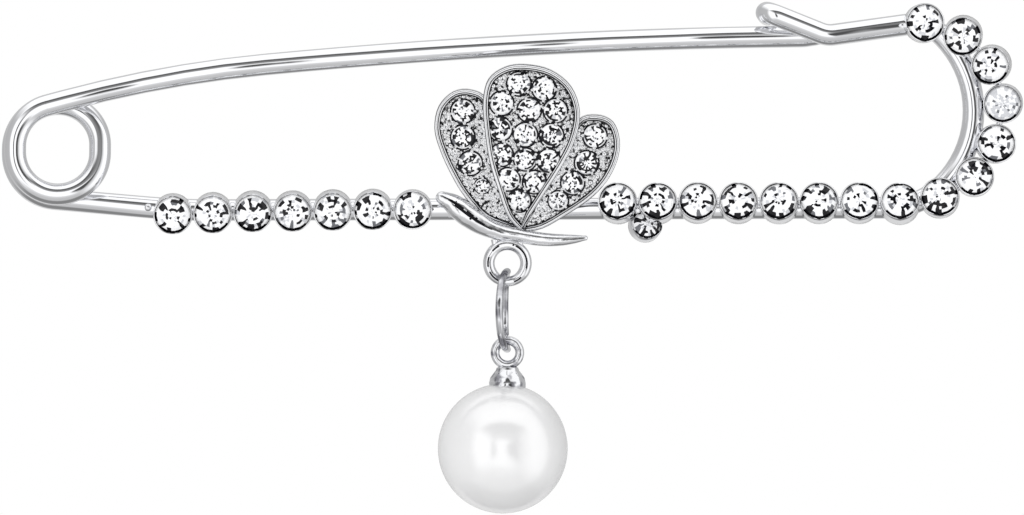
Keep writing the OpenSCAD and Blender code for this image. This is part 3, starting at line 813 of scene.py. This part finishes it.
left_cups = cup_run("left_cups", left_seats)
solder_dot = smooth(lathe("solder_dot", [(0.1, -0.05), (0.26, 0), (0.3, 0.1), (0.24, 0.24), (0.1, 0.32)], 20), 80)
placed(solder_dot, move(LEFT_START - 1.95, -WIRE_R + 0.05, bar_z(LEFT_START) + 0.22) @ turn("X", 90))
left_cups = joined("left_cups", [left_cups, dressed(solder_dot, cup_silver)])
right_cups = cup_run("right_cups", right_seats)
low_cup = joined("low_cup", [placed(cup_model("low_cup", LOW_CUP_R, LOW_CUP_H), low_seat)])

big_stone = stone_model("big_stone", STONE_R, 0.5, 0.85)
small_stone = stone_model("small_stone", SMALL_R, 0.28, 0.5)
left_row_stones = stones("left_row_stones", big_stone, STONE_R,
                         [on_seat(s) @ move(0, 0, STONE_Z) for s in left_seats], 11)
right_row_stones = stones("right_row_stones", big_stone, STONE_R,
                          [on_seat(s) @ move(0, 0, STONE_Z) for s in right_seats], 23, cloudy=(11,))
low_row_stone = stones("low_row_stone", big_stone, STONE_R,
                       [low_seat @ move(0, 0, LOW_STONE_Z) @ Matrix.Scale(LOW_STONE_R / STONE_R, 4)], 5, deep=(0,))

# ---- the butterfly, front towards +z

# Outlines, stones (x, y, size) and the body's spine (x, y, thickness), in shares of the wings' width and height
# and of the stone's and the body's own size
CENTRE_OUTLINE = [
    (0.02, -0.06), (-0.12, 0.04), (-0.23, 0.23), (-0.315, 0.41), (-0.365, 0.62), (-0.378, 0.785),
    (-0.32, 0.92), (-0.15, 0.995), (0.06, 1.013), (0.335, 0.978), (0.555, 0.87), (0.645, 0.705),
    (0.59, 0.53), (0.46, 0.37), (0.285, 0.2), (0.13, 0.05)]
LEFT_OUTLINE = [
    (-0.02, -0.06), (-0.35, 0.02), (-0.57, 0.165), (-0.71, 0.305), (-0.83, 0.465), (-0.89, 0.605),
    (-0.845, 0.745), (-0.69, 0.838), (-0.5, 0.85), (-0.33, 0.785), (-0.22, 0.55), (-0.1, 0.25)]
RIGHT_OUTLINE = [
    (0.02, -0.07), (0.25, -0.04), (0.505, 0.05), (0.745, 0.15), (0.92, 0.26), (1.035, 0.395),
    (1.065, 0.525), (0.995, 0.645), (0.82, 0.69), (0.62, 0.655), (0.43, 0.45), (0.2, 0.2)]
CENTRE_STONES = [
    (0, 0.891, 1), (0.266, 0.86, 1), (-0.18, 0.767, 1), (0.11, 0.725, 1), (0.385, 0.72, 1),
    (-0.195, 0.603, 1), (0.07, 0.568, 1), (0.345, 0.562, 1), (-0.18, 0.438, 0.96), (0.068, 0.409, 0.95),
    (0.315, 0.402, 0.96), (-0.112, 0.28, 0.98), (0.165, 0.262, 0.98), (0.005, 0.14, 0.96)]
LEFT_STONES = [(-0.59, 0.714, 1), (-0.59, 0.549, 1), (-0.51, 0.382, 1), (-0.385, 0.235, 0.66)]
RIGHT_STONES = [(0.803, 0.555, 1), (0.715, 0.385, 1), (0.568, 0.256, 0.98), (0.415, 0.14, 0.84)]
SPINE = [
    (-0.837, 0.168, 0.48), (-0.774, 0.148, 0.66), (-0.705, 0.124, 0.84), (-0.631, 0.09, 0.97), (-0.536, 0.046, 1),
    (-0.41, -0.005, 0.9), (-0.283, -0.043, 0.77), (-0.146, -0.067, 0.65), (0.013, -0.083, 0.6),
    (0.171, -0.102, 0.59), (0.329, -0.111, 0.55), (0.467, -0.111, 0.48), (0.593, -0.106, 0.36),
    (0.69, -0.1, 0.2)]
CENTRE_CROWN = Vector((0.9, WING_H * 0.55, WING_T - CROWN_R))
LEFT_CROWN = Vector((-WING_W * 0.5, WING_H * 0.45, WING_T - WING_STEP - CROWN_R))
RIGHT_CROWN = Vector((WING_W * 0.65, WING_H * 0.35, WING_T - WING_STEP - CROWN_R))
BACK = -9
RIM_W = 0.49
# Steps in from the wing's edge, each how wide and how far up or down: the edge's round, a groove, the inner
# ridge, and the drop to the field
RIM_STEPS = (
    (0.035, 0.07), (0.06, 0.04), (0.1, 0.01), (0.045, -0.03), (0.035, -0.06),
    (0.035, 0.045), (0.07, 0.01), (0.045, -0.05), (0.055, -0.23))


def outline(points):
    """A smooth curve through the points, as the wing's plate is cut."""
    p = [Vector((x * WING_W, y * WING_H)) for x, y in points]
    return [place for stretch in spline(p, 4) for place, _, _ in stretch] + [p[-1]]


def sides_of(line):
    return zip(line, line[1:] + line[:1])


def inside(line, x, y):
    hit = False
    for a, b in sides_of(line):
        if (a.y > y) != (b.y > y) and x < (b.x - a.x) * (y - a.y) / (b.y - a.y) + a.x:
            hit = not hit
    return hit


def edge_distance(line, x, y):
    p = Vector((x, y))
    best = 99.0
    for a, b in sides_of(line):
        way = b - a
        t = max(0.0, min(1.0, (p - a).dot(way) / max(way.length_squared, 1e-9)))
        best = min(best, (p - a - way * t).length)
    return best


def crown_z(crown, x, y):
    return crown.z + math.sqrt(CROWN_R * CROWN_R - (x - crown.x) ** 2 - (y - crown.y) ** 2)


def on_crown(crown, x, y):
    """A place on a wing's field, square to its crowned front."""
    r = CROWN_R - FIELD_DEPTH
    way = Vector((x - crown.x, y - crown.y))
    heading = math.degrees(math.atan2(way.y, way.x))
    return on_frame @ (Matrix.Translation(crown) @ turn("Z", heading)
                       @ turn("Y", math.degrees(math.asin(way.length / r))) @ move(0, 0, r) @ turn("Z", -heading))


def wing_plate(name, line, crown):
    """A wing: its outline filled, drawn up from the back, inset to the two ridges of its rim and sunk to its
    field, then crowned."""
    obj = ring_of_edges(name, 1, len(line))
    if sum(a.x * b.y - b.x * a.y for a, b in sides_of(line)) < 0:
        line = line[::-1]
    for v, p in zip(obj.data.vertices, line):
        v.co = (p.x, p.y, BACK)
    start_edit(obj)
    bpy.ops.mesh.edge_face_add()
    bpy.ops.mesh.select_mode(type="FACE")
    bpy.ops.mesh.select_all(action="SELECT")
    bpy.ops.mesh.normals_make_consistent(inside=False)
    mesh = bmesh.from_edit_mesh(obj.data)
    if next(iter(mesh.faces)).normal.z < 0:
        bpy.ops.mesh.flip_normals()
    bpy.ops.mesh.extrude_region_move(TRANSFORM_OT_translate={"value": (0, 0, -BACK - 0.12)})
    for thickness, depth in RIM_STEPS:
        bpy.ops.mesh.inset(thickness=thickness, depth=depth, use_even_offset=False, use_boundary=True)
    bpy.ops.mesh.quads_convert_to_tris(ngon_method="BEAUTY")
    bpy.ops.mesh.subdivide(number_cuts=3)
    bpy.ops.object.mode_set(mode="OBJECT")
    for v in obj.data.vertices:
        v.co.z = 0 if v.co.z < BACK / 2 else v.co.z + crown_z(crown, v.co.x, v.co.y)
    start_edit(obj)
    end_edit(close=True)
    dressed(obj, cast_silver, black_shade_and_lines, field_silver)
    # Painted shade and painted reflection: the rim's sloped faces and its drop to the field are painted black; the
    # field gets its own finish
    for face in obj.data.polygons:
        c, up = face.center, face.normal.z
        below = crown_z(crown, c.x, c.y) - c.z
        if 0.26 < below < 0.4 and up > 0.8:
            face.material_index = 2
        elif up > 0.05 and (0.035 < below < 0.1 and up < 0.75 or 0.12 < below < 0.3):
            face.material_index = 1
    return placed(smooth(obj, 45), on_frame)


def seat_model(name, r):
    """The groove round a wing stone, black as painted shade: a shallow ring with a raised inner lip."""
    return smooth(lathe(name, [(r - 0.14, -0.1), (r + 0.11, -0.1), (r + 0.11, 0.03), (r + 0.06, 0.05),
                               (r - 0.02, 0.05), (r - 0.14, 0.02)], 28), 40)


def bead_model(name):
    """A raised bead: a ball, flatter above its foot and deeper below it."""
    clear_selection()
    bpy.ops.mesh.primitive_uv_sphere_add(segments=12, ring_count=7, radius=1)
    obj = bpy.context.object
    obj.name = name
    for v in obj.data.vertices:
        v.co.z *= 0.8 if v.co.z > 0 else 1.2
    return smooth(obj)


def bead_spots(line, centres, draw):
    """Where a wing's beads stand (x, y, size, lift): up to four that hold each stone, and the rest scattered
    where there is room."""
    spots = []
    for x, y, r in centres:
        start = draw.uniform(0, 90)
        for k in range(4):
            a = math.radians(start + 90 * k + draw.uniform(-12, 12))
            size = draw.uniform(0.1, 0.15)
            bx, by = x + (r + 0.03) * math.cos(a), y + (r + 0.03) * math.sin(a)
            if inside(line, bx, by) and edge_distance(line, bx, by) > RIM_W - 0.02:
                if all(math.hypot(bx - o[0], by - o[1]) > o[2] - 0.02 for o in centres if o[:2] != (x, y)):
                    spots.append((bx, by, size, 0.1))
    low_x, high_x = min(p.x for p in line), max(p.x for p in line)
    low_y, high_y = min(p.y for p in line), max(p.y for p in line)
    for _ in range(2500):
        bx, by = draw.uniform(low_x, high_x), draw.uniform(low_y, high_y)
        size = draw.uniform(0.12, 0.22)
        if not inside(line, bx, by) or edge_distance(line, bx, by) < RIM_W + size * 0.3:
            continue
        if any(math.hypot(bx - o[0], by - o[1]) < o[2] + 0.07 + size * 0.6 for o in centres):
            continue
        if any(math.hypot(bx - s[0], by - s[1]) < (size + s[2]) * 0.9 for s in spots):
            continue
        spots.append((bx, by, size, 0))
    return spots


def wing(side, points, crown, seats, seed, deep):
    """A whole wing: plate, seats, stones and beads."""
    line = outline(points)
    plate = wing_plate(side + "_wing", line, crown)
    centres = [(x * WING_W, y * WING_H, share * SMALL_R) for x, y, share in seats]
    places = [on_crown(crown, x, y) @ Matrix.Scale(r / SMALL_R, 4) for x, y, r in centres]
    grooves = copies(side + "_wing_seats", seat_model("seat", SMALL_R), places)
    gems = stones(side + "_wing_gems", small_stone, SMALL_R, [m @ move(0, 0, -SMALL_SINK) for m in places],
                  seed, deep=deep, paint_shade_at_foot=False)
    spots = bead_spots(line, centres, random.Random(seed + 1))
    beads = copies(side + "_wing_beads", bead_model("bead"), [
        on_crown(crown, x, y) @ move(0, 0, lift) @ Matrix.Scale(size, 4) for x, y, size, lift in spots])
    return plate, dressed(grooves, black_shade_and_lines), dressed(gems, crystal), dressed(beads, bead_silver)


left_wing = wing("left", LEFT_OUTLINE, LEFT_CROWN, LEFT_STONES, 31, (1, 2))
centre_wing = wing("centre", CENTRE_OUTLINE, CENTRE_CROWN, CENTRE_STONES, 41, (4, 5, 7, 8, 10))
right_wing = wing("right", RIGHT_OUTLINE, RIGHT_CROWN, RIGHT_STONES, 51, (1, 2))

STREAK_FROM, STREAK_TO = -0.79, -0.27
STREAK_HALF = 0.22


def make_body():
    """The butterfly's body: a spindle drawn along its curve, round at one end and pointed at the other."""
    at = [Vector((x * WING_W, y * WING_H, SPINE_Z)) for x, y, _ in SPINE]
    size = [s * BODY_D / 2 for _, _, s in SPINE]
    places = []
    for i, stretch in enumerate(spline(at, 6)):
        for p, way, t in stretch:
            m = Matrix.Translation(p) @ turn("Z", math.degrees(math.atan2(way.y, way.x)))
            places.append((m, size[i] + (size[i + 1] - size[i]) * t))
    places.append((places[-1][0] @ move(0.25), size[-1]))
    first, r = places[0]
    head = [(first @ move(-0.26), r * 0.25), (first @ move(-0.2), r * 0.6), (first @ move(-0.1), r * 0.86)]
    tip = [(places[-1][0] @ move(0.1), size[-1] * 0.4)]
    obj = dressed(swept("butterfly_body", head + places + tip, 48), cast_silver, black_shade_and_lines)
    # The ragged black streak along the front, by how far a face stands above the spindle's middle line
    for face in obj.data.polygons:
        c = face.center
        if STREAK_FROM * WING_W < c.x < STREAK_TO * WING_W and c.z > SPINE_Z:
            k = max(i for i, p in enumerate(at) if p.x <= c.x)
            t = (c.x - at[k].x) / (at[k + 1].x - at[k].x)
            middle = at[k].y + (at[k + 1].y - at[k].y) * t
            half = size[k] + (size[k + 1] - size[k]) * t
            above = (c.y - middle) / half + 0.12 * noise.noise(c * 4)
            along = c.x / WING_W - STREAK_FROM
            fall = 0.36 - 0.62 * along
            end = min(along, STREAK_TO - c.x / WING_W)
            if abs(above - fall) < min(STREAK_HALF, 1.6 * end):
                face.material_index = 1
    # Slight hammered unevenness, less of it towards the tail
    for v in obj.data.vertices:
        calm = min(1.0, max(0.15, 0.6 - v.co.x / WING_W))
        v.co += Vector((0, 0, (noise.noise(v.co * 1.6) * 0.05 + noise.noise(v.co * 5.0) * 0.012) * calm))
    return placed(smooth(obj, 70), on_frame)


SHOULDER_TURN = 49
SHOULDER_L = 0.75
SHOULDER_R = 0.27
WEAR = 0.13


def make_eye():
    """The eye under the body, with the two shoulders that run up into it."""
    parts = [placed(hoop("eye", eye_r, EYE_WIRE_D / 2, 72), Matrix.Translation(eye_at))]
    a = math.radians(SHOULDER_TURN)
    for side in (-1, 1):
        foot = eye_at + Vector((side * math.cos(a), math.sin(a), 0)) * eye_r
        m = Matrix.Translation(foot) @ turn("Z", 90 - side * 4)
        parts.append(swept("shoulder", [(m @ move(SHOULDER_L * t), SHOULDER_R * k) for t, k in (
            (-0.1, 0.5), (0, 0.9), (0.4, 0.85), (0.7, 0.95), (1, 1.1))], 14))
    obj = joined("eye", parts)
    # The jump ring has worn the foot of the eye a little
    for v in obj.data.vertices:
        p = v.co - eye_at
        off_foot = math.atan2(p.x, -p.y)
        if abs(off_foot) < math.pi / 3:
            middle = eye_at + Vector((math.sin(off_foot), -math.cos(off_foot), 0)) * eye_r
            v.co = middle + (v.co - middle) * (1 - WEAR * math.cos(1.5 * off_foot))
    # Broken dark lines where the eye's two ridges meet, at its left and its right
    dressed(obj, cast_silver, black_shade_and_lines)
    for face in obj.data.polygons:
        c = face.center - eye_at
        d = math.hypot(c.x, c.y)
        if c.z > 0 and abs(d - eye_r - 0.035) < 0.075 and abs(c.x) > 0.3 * d and noise.noise(c * 1.3) > -0.15:
            face.material_index = 1
    return placed(smooth(obj, 60), on_frame)


butterfly_body = make_body()
eye = make_eye()

# ---- the drop

RING_CUT = 229
RING_STEPS = 84
RING_GAP = 6
FRONT_BEND, BACK_BEND = 12.5, 3.8
CAP_R = 1.43


def make_ring():
    """The jump ring: open wire, bent sideways along its upright line, with its cut low at the back."""
    places = []
    for k in range(RING_STEPS + 1):
        a = math.radians(RING_CUT + RING_GAP / 2 + ((360 - RING_GAP) * k) / RING_STEPS)
        swing = math.radians(FRONT_BEND if math.sin(a) > 0 else BACK_BEND)
        side = abs(math.sin(a)) * ring_r
        places.append(ring_mid + Vector((-side * math.sin(swing), -ring_r * math.sin(a) * math.cos(swing),
                                         ring_r * math.cos(a))))
    tube = []
    for k, p in enumerate(places):
        way = places[min(k + 1, RING_STEPS)] - places[max(k - 1, 0)]
        x = way.normalized()
        z = Vector((1, 0, 0)).cross(way).normalized()
        m = Matrix((x, z.cross(x), z)).transposed().to_4x4()
        m.translation = p
        tube.append((m, 0.96 * RING_WIRE_D / 2))
    return dressed(smooth(swept("hanging_ring", tube, 18), 60), ring_silver)


def make_cap():
    """The pearl's cap with its loop: a turned bell with eight shallow flutes, and a hoop soldered on it."""
    r = PEARL_R
    bell = lathe("bell", [
        (0.3, r - 0.25), (1.2, r - 0.34), (1.4, r - 0.3), (CAP_R, r - 0.2), (CAP_R, r + 0.08), (1.4, r + 0.18),
        (1.33, r + 0.47), (1.11, r + 0.78), (0.92, r + 1.02), (0.88, r + 1.12), (0.84, r + 1.24), (0.7, r + 1.3),
        (0.3, r + 1.32)], 64)
    for v in bell.data.vertices:
        if v.co.z < r + 0.1:
            v.co.z -= 0.07 * v.co.x / CAP_R
        elif math.hypot(v.co.x, v.co.y) > 0.75:
            k = 1 - 0.04 * abs(math.sin(4 * math.atan2(v.co.y, v.co.x)))
            v.co.x *= k
            v.co.y *= k
    placed(smooth(bell, 40), Matrix.Translation(pearl_mid))
    loop = placed(smooth(hoop("loop", loop_r, LOOP_WIRE_D / 2, 64)), Matrix.Translation(loop_mid) @ turn("X", 90))
    return dressed(joined("cap_and_loop", [bell, loop]), drop_silver)


def make_pearl():
    """The pearl: a turned ball with a drilled top, a little uneven as pearls are."""
    drilled = 5.2
    profile = [(0.45, PEARL_R * math.cos(math.radians(drilled)) - 0.5)]
    for k in range(61):
        a = math.radians(drilled + (180 - drilled - 0.5) * k / 60)
        profile.append((PEARL_R * math.sin(a), PEARL_R * math.cos(a)))
    obj = lathe("pearl_ball", profile, 96)
    for v in obj.data.vertices:
        v.co *= 1 + 0.0025 * (noise.noise(v.co * 0.35) - 0.5)
    return dressed(placed(smooth(obj, 60), Matrix.Translation(pearl_mid + Vector((PEARL_SIDE, 0, 0)))), nacre)


hanging_ring = make_ring()
cap_and_loop = make_cap()
pearl_ball = make_pearl()

for piece in (frame_wire, coil_wire, pin_wire):
    dressed(piece, wire_silver)
for piece in (left_row_stones, right_row_stones, low_row_stone):
    dressed(piece, crystal)
for model in (big_stone, small_stone):
    bpy.data.objects.remove(model)

# ---- what rides on what

silver_pieces = [frame_wire, left_cups, right_cups, low_cup, butterfly_body, eye]
for plate, grooves, gems, beads in (left_wing, centre_wing, right_wing):
    silver_pieces += [plate, grooves, beads]
gem_pieces = [
    (left_row_stones, [f"left_stone_{i + 1}" for i in range(LEFT_COUNT)]),
    (right_row_stones, [f"right_stone_{i + 1}" for i in range(RIGHT_COUNT)]),
    (low_row_stone, ["low_stone"]),
    (left_wing[2], ["left_wing_stones"]),
    (centre_wing[2], ["centre_wing_stones"]),
    (right_wing[2], ["right_wing_stones"])]
moving_pieces = [coil_wire, pin_wire, hanging_ring, cap_and_loop, pearl_ball]

for piece in silver_pieces + [piece for piece, _ in gem_pieces] + moving_pieces:
    placed(piece, TO_ROW)

for piece in silver_pieces:
    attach(piece, "brooch")
    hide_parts("frame")
for piece, nodes_for in gem_pieces:
    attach(piece, "brooch")
    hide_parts(*nodes_for)
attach(hanging_ring, "ring")
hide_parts("jump_ring")
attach(cap_and_loop, "drop")
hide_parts("pearl_cap")
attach(pearl_ball, "drop")
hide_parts("pearl")
coil_mid = TO_ROW @ Vector((0, 0, 0))
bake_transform(coil_wire)
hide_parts("spring_coil")
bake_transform(pin_wire)
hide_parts("pin_arm")

# ---- camera, floor and light

DISTANCE = 1.2
FIELD = 0.08
SENSOR = 36
FLOOR_Z = -0.062
FLOOR_SIZE = 0.6


def set_in_scene(name, data):
    obj = bpy.data.objects.new(name, data)
    bpy.context.scene.collection.objects.link(obj)
    return obj


view_mid = TO_ROW @ Vector((35.469, 0, -8.453))
lens = bpy.data.cameras.new("camera")
lens.sensor_width = SENSOR
lens.lens = SENSOR * DISTANCE / FIELD
camera = set_in_scene("camera", lens)
camera.location = view_mid + Vector((0, -DISTANCE - coil_mid.y, 0)) - Vector((0, view_mid.y, 0))
camera.rotation_euler = (math.pi / 2, 0, 0)
bpy.context.scene.camera = camera

clear_selection()
bpy.ops.mesh.primitive_grid_add(x_subdivisions=4, y_subdivisions=4, size=FLOOR_SIZE, location=(0, 0, FLOOR_Z))
floor = bpy.context.object
floor.name = "floor"
floor_material, nodes, links, shader = new_material("pale_floor")
grain = nodes.new("ShaderNodeTexNoise")
grain.inputs["Scale"].default_value = 60
links.new(colours_by(nodes, links, grain.outputs["Fac"], ((0, (0.9, 0.9, 0.9)), (1, (0.94, 0.94, 0.94)))),
          shader.inputs["Base Color"])
shader.inputs["Roughness"].default_value = 0.9
dressed(floor, floor_material)
floor.visible_glossy = False

lamp = bpy.data.lights.new("front_light", "SUN")
lamp.energy = 0.95
lamp.angle = math.radians(30)
front_light = set_in_scene("front_light", lamp)
front_light.rotation_euler = (math.radians(80), 0, math.radians(-12))
front_light.visible_glossy = False

# Studio: soft boxes and dark cards round the brooch, as (degrees, brightness) by how far up or down and how far
# left or right they stand. Only reflections see them.
UP_AND_DOWN = [
    (-180, 0.6), (-142, 0.62), (-134, 0.25), (-96, 0.2), (-84, 0.28), (-78, 0.5), (-55, 0.52), (-36, 0.66),
    (-28, 1), (14, 1), (19, 0.3), (38, 0.1), (46, 0.07), (50, 1), (118, 1), (126, 0.55), (180, 0.5)]
LEFT_AND_RIGHT = [
    (-180, 0.5), (-120, 0.42), (-62, 0.45), (-48, 1), (-22, 1), (-19, 0.08), (-12, 0.08), (-9, 1), (6, 1),
    (10, 0.06), (24, 0.08), (32, 0.5), (54, 1), (84, 1), (92, 0.5), (130, 0.42), (180, 0.5)]

world = bpy.data.worlds.new("studio")
bpy.context.scene.world = world
world.use_nodes = True
nodes, links = world.node_tree.nodes, world.node_tree.links
nodes.clear()


def maths(operation, a, b):
    """A Math node of two values, each a number or another node's output."""
    node = nodes.new("ShaderNodeMath")
    node.operation = operation
    for socket, value in zip(node.inputs, (a, b)):
        if isinstance(value, (int, float)):
            socket.default_value = value
        else:
            links.new(value, socket)
    return node.outputs[0]


def brightness_by(angle, stops):
    share = maths("ADD", maths("DIVIDE", angle, 2 * math.pi), 0.5)
    return colours_by(nodes, links, share, [((degrees + 180) / 360, [value] * 3) for degrees, value in stops])


def background(strength, colour=None):
    """A light of one strength, white where no colour is given."""
    node = nodes.new("ShaderNodeBackground")
    set_inputs(node, {"Color": (1, 1, 1, 1), "Strength": strength})
    if colour is not None:
        links.new(colour, node.inputs["Color"])
    return node.outputs["Background"]


def chosen_by(ray, other, own):
    """One shader for rays of the named kind and another for the rest."""
    node = nodes.new("ShaderNodeMixShader")
    links.new(path.outputs[ray], node.inputs["Fac"])
    links.new(other, node.inputs[1])
    links.new(own, node.inputs[2])
    return node.outputs["Shader"]


heading = nodes.new("ShaderNodeTexCoord")
parts = nodes.new("ShaderNodeSeparateXYZ")
links.new(heading.outputs["Generated"], parts.inputs["Vector"])
x, y, z = parts.outputs
towards = maths("MULTIPLY", y, -1)
bands = brightness_by(maths("ARCTAN2", z, towards), UP_AND_DOWN)
cards = brightness_by(maths("ARCTAN2", x, towards), LEFT_AND_RIGHT)
x2, z2 = maths("MULTIPLY", x, x), maths("MULTIPLY", z, z)
sideways = maths("DIVIDE", x2, maths("ADD", maths("ADD", x2, z2), 1e-4))
weight = nodes.new("ShaderNodeMapRange")
weight.interpolation_type = "SMOOTHSTEP"
set_inputs(weight, {"From Min": 0.2, "From Max": 0.8})
links.new(sideways, weight.inputs["Value"])
mirrored = mixed(nodes, links, "RGBA", weight.outputs["Result"], bands, cards)
path = nodes.new("ShaderNodeLightPath")
lit = chosen_by("Is Glossy Ray", background(0.9), background(1.2, mirrored))
outlet = nodes.new("ShaderNodeOutputWorld")
links.new(chosen_by("Is Camera Ray", lit, background(1)), outlet.inputs["Surface"])

bpy.context.scene.view_settings.view_transform = "Standard"
